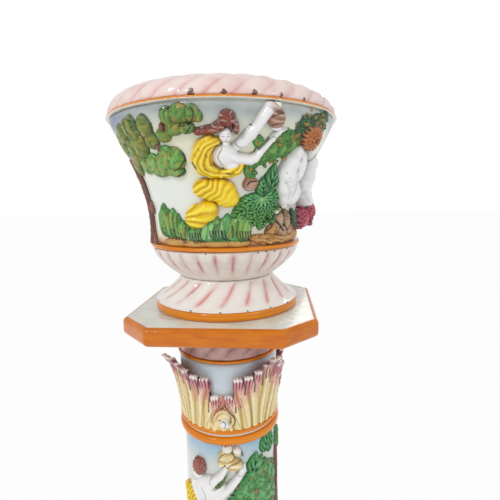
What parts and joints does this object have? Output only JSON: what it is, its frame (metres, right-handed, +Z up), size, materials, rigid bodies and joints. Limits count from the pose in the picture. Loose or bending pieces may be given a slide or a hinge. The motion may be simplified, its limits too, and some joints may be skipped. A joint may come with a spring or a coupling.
{
  "type": "jardiniere on stand",
  "caption": "Glazed earthenware jardiniere with a lobed rim and relief scene, lifting off a round pedestal with leaf capital, orange rings and chamfered square slabs.",
  "frame": {"origin": "centre of the pedestal's base, on the floor", "axes": "+Z up, -Y towards the front of the scene, slab sides along X and Y"},
  "size_m": [0.422, 0.4234, 1.0875],
  "materials": {
    "pink_glaze": "gloss glaze",
    "orange_glaze": "gloss glaze",
    "sky_glaze": "gloss glaze",
    "cream_glaze": "gloss glaze",
    "leaf_glaze": "gloss glaze",
    "green_glaze": "gloss glaze",
    "brown_glaze": "gloss glaze",
    "yellow_glaze": "gloss glaze",
    "white_glaze": "gloss glaze",
    "clay_glaze": "gloss glaze",
    "grape_glaze": "gloss glaze",
    "steel": "zinc plated",
    "rubber": "matt"
  },
  "bodies": {
    "pedestal": {"acanthus_back_left": "leaf_glaze", "acanthus_back_right": "leaf_glaze", "acanthus_front_left": "leaf_glaze", "acanthus_front_right": "leaf_glaze", "base_flare": "pink_glaze", "base_ring": "orange_glaze", "capital_drum": "sky_glaze", "collar": "pink_glaze", "collar_ring": "orange_glaze", "flare_band": "orange_glaze", "lower_ring": "orange_glaze", "plinth": "cream_glaze", "shaft_back_robe": "yellow_glaze", "shaft_back_thicket": "green_glaze", "shaft_back_tree": "brown_glaze", "shaft_bearer": "white_glaze", "shaft_hair": "brown_glaze", "shaft_jug": "clay_glaze", "shaft_robe": "yellow_glaze", "shaft_thicket": "green_glaze", "shaft_tree": "brown_glaze", "shaft_wall": "sky_glaze", "top_plate": "cream_glaze", "upper_ring": "orange_glaze"},
    "pot": {"back_dancer_body": "white_glaze", "back_dancer_jug": "clay_glaze", "back_dancer_scarf": "brown_glaze", "back_dancer_wrap": "yellow_glaze", "back_foliage": "green_glaze", "back_grass_bank": "green_glaze", "back_tree": "green_glaze", "bell_wall": "sky_glaze", "belly_band": "orange_glaze", "cup_rubber_washer": "rubber", "cup_steel_washer": "steel", "dancer_body": "white_glaze", "dancer_jug": "clay_glaze", "dancer_scarf": "brown_glaze", "dancer_wrap": "yellow_glaze", "foot_band": "orange_glaze", "foot_rubber_washer": "rubber", "foot_steel_washer": "steel", "grapes": "grape_glaze", "grass_bank": "green_glaze", "leaf_rosette": "green_glaze", "leafy_bough": "green_glaze", "lobed_cup": "pink_glaze", "pot_foot": "pink_glaze", "rim_line": "orange_glaze", "rim_roll": "pink_glaze", "rocks": "clay_glaze", "seated_head": "clay_glaze", "seated_robe": "white_glaze", "tan_stone": "clay_glaze", "tie_bolt": "steel", "tie_nut": "steel", "tree_crown_left": "green_glaze", "tree_crown_low": "green_glaze", "tree_crown_top": "green_glaze", "tree_trunk": "brown_glaze"}
  },
  "joints": [
    {"name": "pot_lift", "type": "slide", "parent": "pedestal", "child": "pot", "axis": [0, 0, 1], "range_m": [0, 0.12]}
  ]
}
